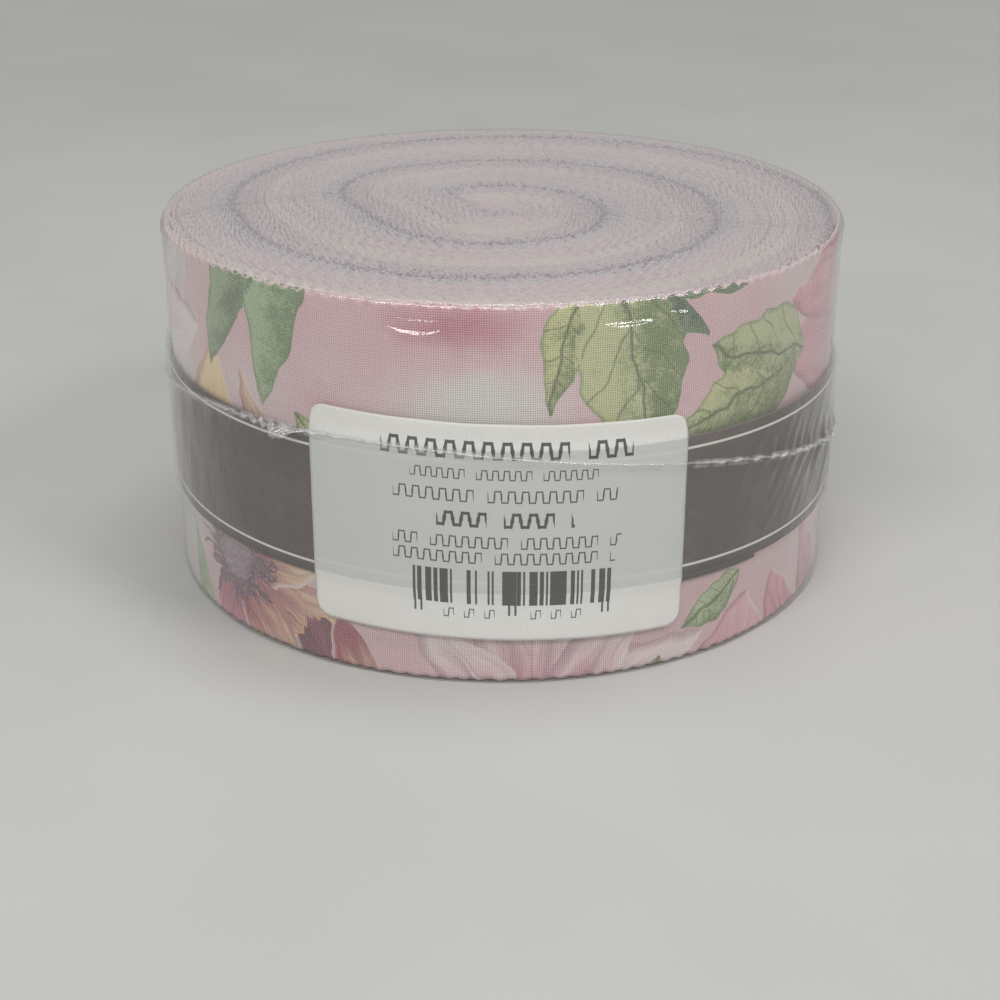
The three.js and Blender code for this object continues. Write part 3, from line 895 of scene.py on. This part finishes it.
def cotton(name, front, back):
    """Plain quilting cotton seen mostly at its pinked edge: pale cut threads, and its print just below."""
    s = Shader(name)
    flat = s.flat_place()
    place = s.object_place()
    edge = s.attribute("edge")
    tone = s.attribute("tone")
    weave = plain_weave(s, flat)
    fluff = s.noise(place, 2.6, 3.0, 0.7)
    blotch = s.noise(flat, 0.16, 3.0, 0.6)
    colour = s.mix(s.smooth(blotch, 0.35, 0.65), front, back)
    colour = s.mix(s.smooth(tone, -2.0, 2.0, 0.0, 0.5), colour, (212, 200, 200))
    # scraps of darker print
    share = s.attribute("speckle")
    print_noise = s.noise(flat, 0.85, 3.0, 0.75)
    limit = s.less(0.68, s.times(share, 0.30))
    dark = s.smooth(s.less(print_noise, limit), -0.03, 0.05)
    colour = s.mix(s.times(dark, 0.9), colour, (92, 80, 92))
    # the valleys between the teeth are in shade and show the print
    _, _, z = s.split(place)
    valley = s.smooth(z, STRIP_TOP - 1.25, STRIP_TOP - 0.4, 0.42, 0.0)
    colour = s.mix(valley, colour, (140, 116, 128))
    # cut ends are pale and ragged
    cut_end = s.times(s.smooth(edge, 0.80, 1.0), s.smooth(fluff, 0.38, 0.66))
    colour = s.mix(s.times(cut_end, 0.6), colour, (226, 217, 217))
    # painted shade in the weave's holes
    colour = s.mix(s.smooth(weave, 0.0, 0.5, 0.35, 0.0), colour, (130, 112, 120))
    return s.matt(colour, 0.95, 0.2, s.bump(s.plus(weave, s.times(fluff, 1.5)), 0.00006, 0.5), (0.35, 0.5))


SMOOTH_LEAF = (0.62, 0.68)  # leaves past these tones have no veins
OUTLINE = (0.14, -0.10)  # a blade's paint thins out from inside its edge to just past it, mm


def petal_paint(s, layer):
    """Colour and cover of one layer of petals."""
    edge, middle, along, tone = (s.attribute(layer + "_" + field) for field in BLADE_FIELDS)
    base = s.ramp(tone, [
        (0.0, (214, 166, 176)), (0.16, (200, 118, 138)),
        (0.2, (173, 71, 97)), (0.4, (171, 73, 86)),
        (0.6, (210, 130, 104)), (0.8, (100, 41, 61)),
    ], "CONSTANT")
    tip = s.ramp(tone, [
        (0.0, (243, 231, 229)), (0.16, (236, 190, 198)),
        (0.2, (231, 164, 178)), (0.4, (239, 213, 178)),
        (0.6, (245, 220, 165)), (0.8, (150, 70, 92)),
    ], "CONSTANT")
    streaks = s.noise(s.combine(s.times(middle, 1.1), s.times(along, 1.8), s.times(tone, 40)), 1.0, 4.0, 0.6)
    depth = s.plus(along, s.swing(streaks, 1.3))
    colour = s.mix(s.smooth(depth, 0.1, 0.95), base, tip)
    # a mauve fold down the middle and a shaded side
    vein = s.smooth(s.size(s.plus(middle, s.swing(streaks, 2.4))), 0.1, 1.5, 0.55, 0.0)
    colour = s.mix(s.times(vein, s.smooth(along, 0.95, 0.3)), colour, (160, 89, 113))
    shaded = s.times(s.smooth(edge, -2.2, -0.1, 0.0, 0.55), s.smooth(middle, 0.6, -0.6))
    colour = s.mix(shaded, colour, (153, 86, 110))
    rim = s.times(s.smooth(edge, -1.3, -0.2, 0.0, 0.75), s.smooth(middle, -0.4, 0.8))
    colour = s.mix(rim, colour, (231, 221, 218))
    return colour, s.smooth(edge, *OUTLINE)


def leaf_paint(s, flat):
    """Colour and cover of the leaves: lobed ones have veins, smooth ones are plain."""
    edge, middle, along, tone = (s.attribute("leaf_" + field) for field in BLADE_FIELDS)
    aside = s.size(middle)
    mottle = s.noise(flat, 0.30, 4.0, 0.6)
    light = s.ramp(tone, [
        (0.0, (212, 208, 138)), (0.5, (195, 203, 152)),
        (0.7, (184, 206, 162)), (0.9, (112, 136, 98)),
    ])
    dark = s.ramp(tone, [
        (0.0, (126, 141, 68)), (0.5, (110, 134, 76)),
        (0.7, (122, 153, 102)), (0.9, (50, 78, 52)),
    ])
    speckle = s.swing(s.noise(flat, 1.7, 3.0, 0.8), 1.8)
    shade = s.plus(s.plus(s.swing(mottle, 2.0), speckle), s.smooth(middle, -5.0, 5.0, 0.9, 0.1))
    colour = s.mix(s.smooth(shade, 0.1, 1.0), light, dark)
    chevron = s.math("FRACT", s.less(s.times(along, 4.6), s.times(aside, 0.16)))
    side_vein = s.smooth(s.apart(chevron, 0.5), 0.01, 0.06, 0.6, 0.0)
    mid_vein = s.smooth(aside, 0.10, 0.42, 0.85, 0.0)
    veins = s.times(s.most(side_vein, mid_vein), s.smooth(tone, *SMOOTH_LEAF, 1.0, 0.0))
    colour = s.mix(veins, colour, (78, 97, 48))
    rim = s.smooth(edge, -0.9, 0.0, 0.0, 0.6)
    colour = s.mix(rim, colour, (99, 125, 73))
    return colour, s.smooth(edge, *OUTLINE)


def printed_cotton():
    s = Shader("printed_cotton")
    flat = s.flat_place()
    weave = plain_weave(s, flat)
    cloud = s.noise(flat, 0.07, 3.0, 0.55)
    wash = s.plus(s.attribute("wash"), s.swing(cloud, 1.4))
    colour = s.ramp(s.smooth(wash, -2.2, 1.4), [
        (0.0, (178, 98, 118)), (0.15, (204, 138, 152)),
        (0.4, (220, 181, 186)), (0.65, (224, 190, 194)),
        (0.85, (224, 208, 207)), (1.0, (222, 218, 214)),
    ])
    for layer in ("under", "over"):
        paint, cover = petal_paint(s, layer)
        colour = s.mix(cover, colour, paint)
    paint, cover = leaf_paint(s, flat)
    colour = s.mix(cover, colour, paint)
    # the flowers' hearts: a ragged ring of dark stamens round a dusty middle
    distance, around, size = (s.attribute("heart_" + field) for field in HEART_FIELDS)
    rays = s.noise(s.combine(s.times(around, 6.0), s.times(distance, 0.15)), 1.0, 3.0, 0.7)
    reach = s.times(size, s.plus(s.swing(rays, 2.2), 0.85))
    stamens = s.smooth(s.less(distance, reach), 0.3, -0.3)
    grain = s.noise(flat, 1.3, 3.0, 0.8)
    dusty = s.ramp(grain, [(0.32, (96, 66, 88)), (0.5, (150, 122, 138)), (0.66, (186, 162, 170))])
    spiky = s.ramp(grain, [(0.40, (72, 40, 62)), (0.56, (116, 74, 94)), (0.66, (204, 174, 180))])
    heart = s.mix(s.smooth(s.less(distance, s.times(size, 0.45)), -0.8, 0.8), dusty, spiky)
    colour = s.mix(stamens, colour, heart)
    # faint pale flecks; painted shade darkens the weave's holes and a painted highlight lightens the
    # threads' crowns; the back of the cloth is pale
    colour = s.mix(s.smooth(s.noise(flat, 3.0, 2.0), 0.3, 0.7, 0.0, 0.12), colour, (246, 238, 236))
    holes = s.smooth(weave, 0.05, 0.6, 1.0, 0.0)
    colour = s.mix(holes, colour, (146, 132, 134), "MULTIPLY")
    colour = s.mix(s.smooth(weave, 0.7, 1.0, 0.0, 0.28), colour, (244, 236, 234))
    _, up, _ = s.split(flat)
    # under the outer hem the inner ply's print shows
    back = s.mix(s.smooth(up, 1.6, 2.6), (166, 92, 104), (212, 193, 192))
    colour = s.mix(s.attribute("face"), back, colour)
    return s.matt(colour, 0.85, 0.3, s.bump(weave, 0.00007, 0.8), (0.25, 0.45))


LINE_INSET = 2.0  # from the band's edges to its two pale lines


def band_material():
    s = Shader("taupe_paper")
    flat = s.flat_place()
    _, y, _ = s.split(flat)
    fibre = s.noise(flat, 1.8, 4.0, 0.7)
    scuff = s.noise(flat, 0.12, 4.0, 0.65)
    colour = s.mix(s.smooth(fibre, 0.3, 0.7), (80, 70, 66), (92, 81, 77))
    colour = s.mix(s.smooth(scuff, 0.45, 0.75, 0.0, 0.35), colour, (120, 110, 104))
    for middle in (LINE_INSET, BAND_WIDTH - LINE_INSET):
        colour = s.mix(s.smooth(s.apart(y, middle), 0.16, 0.28, 1.0, 0.0), colour, (226, 222, 216))
    cut = s.least(y, s.less(BAND_WIDTH, y))
    colour = s.mix(s.smooth(cut, 0.0, 0.25, 0.5, 0.0), colour, (150, 140, 134))
    return s.matt(colour, 0.62, 0.4, s.bump(fibre, 0.00003, 0.4))


# rows of greeked print on the label, mm: left end, right end, middle down from the top, height, stroke,
# then which letters are gaps: every so many, starting from
PRINT_ROWS = [
    (12.5, 52.4, 4.3, 2.9, 0.27, 15, 10),
    (17.2, 47.3, 8.3, 1.7, 0.10, 6, 5),
    (14.4, 50.0, 11.9, 2.1, 0.12, 8, 6),
    (21.3, 43.1, 15.9, 2.6, 0.26, 4, 3),
    (14.2, 50.8, 19.8, 2.0, 0.12, 7, 2),
    (14.2, 49.8, 22.5, 2.0, 0.12, 9, 7),
    (20.7, 31.4, 32.4, 1.6, 0.10, 2, 0),
    (34.6, 45.0, 32.4, 1.6, 0.10, 2, 0),
]
BARS = (17.4, 49.2, 24.6, 30.8)  # left, right, top, bottom of the bars, mm
GUARDS = (17.7, 18.7, 32.8, 33.8, 47.9, 48.9)  # the long bars
GUARD_BOTTOM = 32.6
BAR_STEP = 0.33
BAR_SHARE = 0.46  # of the steps are dark, picked at random


def label_material():
    s = Shader("label_stock")
    flat = s.flat_place()
    x, y, _ = s.split(flat)
    down = s.less(LABEL_WIDTH, y)
    fibre = s.noise(flat, 2.2, 4.0, 0.7)
    smudge = s.noise(flat, 0.16, 4.0, 0.6)
    colour = s.mix(s.smooth(fibre, 0.3, 0.7), (231, 230, 226), (240, 239, 235))
    colour = s.mix(s.smooth(smudge, 0.5, 0.8, 0.0, 0.25), colour, (214, 214, 211))
    over_band = s.smooth(s.attribute("over_band"), -0.15, 0.25)
    colour = s.mix(s.times(over_band, 0.7), colour, (192, 196, 194))
    stripe = s.smooth(s.apart(s.attribute("over_band"), LINE_INSET), 0.15, 0.4, 0.35, 0.0)
    colour = s.mix(stripe, colour, (226, 226, 223))
    # lines of text stand as even meandering strokes, broken into words
    ink = 0.0
    for left, right, middle, height, stroke, period, first in PRINT_ROWS:
        letter = height * 1.02
        wave = s.math("SINE", s.times(s.less(x, left), FULL_TURN / letter))
        lift = s.least(s.most(s.times(wave, 2.2), -1.0), 1.0)
        off = s.less(s.less(down, middle), s.times(lift, height / 2 - stroke))
        upright = FULL_TURN * stroke / letter
        steep = s.smooth(s.size(wave), upright, upright + 0.12, height * 0.42, 0.0)
        line = s.smooth(s.less(s.size(off), s.plus(steep, stroke)), -0.05, 0.05, 1.0, 0.0)
        level = s.smooth(s.apart(down, middle), height / 2, height / 2 + 0.06, 1.0, 0.0)
        inside = s.least(s.smooth(x, left, left + 0.1), s.smooth(x, right, right - 0.1))
        cell = s.math("FLOOR", s.times(s.less(x, left), 1 / letter))
        word = s.math("GREATER_THAN", s.math("FLOORED_MODULO", s.less(cell, first - 0.5), period), 1.0)
        ink = s.most(ink, s.times(s.times(line, level), s.times(inside, word)))
    left, right, top, bottom = BARS
    cells = s.math("FLOOR", s.times(x, 1 / BAR_STEP))
    pick = s.value("TexWhiteNoise", {"W": cells}, "Value", noise_dimensions="1D")
    bars = s.math("LESS_THAN", pick, BAR_SHARE)
    bars = s.times(bars, s.times(s.smooth(x, left, left + 0.05), s.smooth(x, right, right - 0.05)))
    bars = s.times(bars, s.smooth(down, bottom, bottom - 0.08))
    for middle in GUARDS:
        guard = s.smooth(s.apart(x, middle), 0.14, 0.20, 1.0, 0.0)
        bars = s.most(bars, s.times(guard, s.smooth(down, GUARD_BOTTOM, GUARD_BOTTOM - 0.08)))
    ink = s.most(ink, s.times(bars, s.smooth(down, top, top + 0.08)))
    worn = s.smooth(s.noise(flat, 3.5, 3.0, 0.8), 0.28, 0.38)
    colour = s.mix(s.times(s.times(ink, worn), 0.96), colour, (30, 31, 33))
    return s.matt(colour, 0.5, 0.4, s.bump(s.plus(s.times(fibre, 0.4), smudge), 0.00006, 0.35))


def film_material(name, haze, ripple):
    """Thin clear film: see-through, with a sharp reflection, strongest at grazing angles, and some haze."""
    s = Shader(name)
    place = s.object_place()
    x, y, z = s.split(place)
    stretched = s.combine(x, y, s.times(z, 0.35))
    creases = s.noise(stretched, 0.55, 4.0, 0.6)
    fine = s.noise(stretched, 2.4, 3.0, 0.6)
    at_rim = s.times(s.smooth(z, FILM_TOP - 5, FILM_TOP - 2), s.smooth(z, FILM_TOP - 0.2, FILM_TOP - 0.6))
    fine_share = s.plus(0.25, s.times(at_rim, 0.9))
    normal = s.bump(s.plus(creases, s.times(fine, fine_share)), 0.0003, ripple)
    gloss = s.value("BsdfGlossy", {"Color": (1, 1, 1, 1), "Roughness": 0.09, "Normal": normal})
    clear = s.value("BsdfTransparent", {"Color": (0.99, 0.99, 0.99, 1)})
    milk = s.value("BsdfDiffuse", {"Color": linear((232, 232, 231))})
    # Schlick's reflection of one face, then of both faces of the film; the same from either side
    facing = s.value("LayerWeight", {"Blend": 0.5, "Normal": normal}, "Facing")
    one_face = s.plus(0.04, s.times(0.96, s.math("POWER", facing, 5.0)))
    both = s.math("DIVIDE", s.times(one_face, 2.0), s.plus(one_face, 1.0))
    # the film is milky where it is welded, just below the seam's plane
    slant = s.plus(s.times(x, SEAM_RISE_LEFT / BAND_OUTER), s.times(y, SEAM_RISE_FRONT / BAND_OUTER))
    off_seam = s.apart(s.plus(z, slant), SEAM_HEIGHT - 0.4)
    weld = s.times(s.smooth(off_seam, 0.55, 0.95, 1.0, 0.0), s.smooth(creases, 0.35, 0.6, 0.05, 0.30))
    milky = s.most(weld, haze)
    body = s.value("MixShader", {0: milky, 1: clear, 2: milk})
    return s.surface(s.value("MixShader", {0: both, 1: body, 2: gloss}))


# ---- the object's pieces
def place(piece, material, nodes, slot):
    piece.data.materials.append(material)
    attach(piece, "root")
    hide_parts(*nodes)
    return piece


index = 0
for colour_name, count, *shades in STACK_COLOURS:
    cloth = cotton("cotton_" + colour_name, *shades)
    for _ in range(count):
        number = f"{index + 1:02d}"
        strip = folded_strip("strip_cloth_" + number, index)
        place(strip, cloth, ["strip_" + number], "cloth_" + colour_name)
        index += 1

cover = place(cover_strip(), printed_cotton(), ["cover_strip"], "cloth_print")
place(paper_band(), band_material(), ["paper_band"], "band_paper")
place(paper_label(), label_material(), ["label"], "label_paper")
place(film_shell(), film_material("clear_film", 0.045, 0.35), ["film_lower", "film_upper"], "film")
place(film_fin(), film_material("fused_film", 0.14, 0.6), ["film_seam"], "film")


# ---- floor, light, camera
FLOOR_NEAR, FLOOR_FAR = 350, 1500  # mm; between them the floor turns to the background's paleness
FLOOR_SIDE = 9000  # from the middle to an edge


def floor():
    s = Shader("pale_floor")
    place_mm = s.object_place()
    grain = s.noise(place_mm, 0.9, 4.0, 0.6)
    cloud = s.noise(place_mm, 0.012, 3.0, 0.5)
    colour = s.mix(s.smooth(cloud, 0.3, 0.7), (188, 189, 186), (194, 194, 191))
    x, y, _ = s.split(place_mm)
    away = s.math("SQRT", s.plus(s.times(x, x), s.times(y, y)))
    colour = s.mix(s.smooth(away, FLOOR_NEAR, FLOOR_FAR), colour, (238, 238, 236))
    corners = FLOOR_SIDE * np.array([(-1, -1, 0), (1, -1, 0), (1, 1, 0), (-1, 1, 0)])
    made = make_object("floor", corners, [[[0, 1, 2, 3]]])
    made.data.materials.append(s.matt(colour, 0.55, 0.25, s.bump(grain, 0.00008, 0.25)))


def area_light(name, location, aim_height, size, power, colour):
    """A soft box that points at a height on the roll's axis. Its power is in watts, its sizes in metres."""
    data = bpy.data.lights.new(name, "AREA")
    data.shape = "RECTANGLE"
    data.size, data.size_y = size
    data.energy = power
    data.color = colour
    made = add_to_scene(name, data)
    made.location = location
    x, y, z = location
    pitch = math.atan2(math.hypot(x, y), z - aim_height)
    made.rotation_euler = (pitch, 0, math.atan2(-y, -x) - QUARTER)


WARM_WHITE = (1.0, 0.99, 0.98)
floor()
area_light("front_box", (-0.30, -0.75, 0.85), 0.02, (0.6, 0.3), 5.0, (1.0, 0.995, 0.985))
area_light("overhead", (0.10, 0.12, 1.1), 0, (0.5, 0.25), 2.8, WARM_WHITE)
area_light("right_box", (0.62, -0.50, 0.80), 0.03, (0.30, 0.22), 3.0, WARM_WHITE)

world = bpy.data.worlds.new("studio")
world.use_nodes = True
background = world.node_tree.nodes["Background"].inputs
background["Color"].default_value = linear((226, 225, 224))
background["Strength"].default_value = 0.50
scene.world = world
scene.view_settings.view_transform = "Standard"

camera_data = bpy.data.cameras.new("camera")
camera_data.lens = 66.6
camera_data.sensor_width = 36
camera_data.clip_start = 0.01
camera = add_to_scene("camera", camera_data)
camera.location = (0, -0.3220, 0.1482)
camera.rotation_euler = (math.radians(66.2), math.radians(-0.1), math.radians(0.09))
scene.camera = camera

bpy.context.view_layer.update()
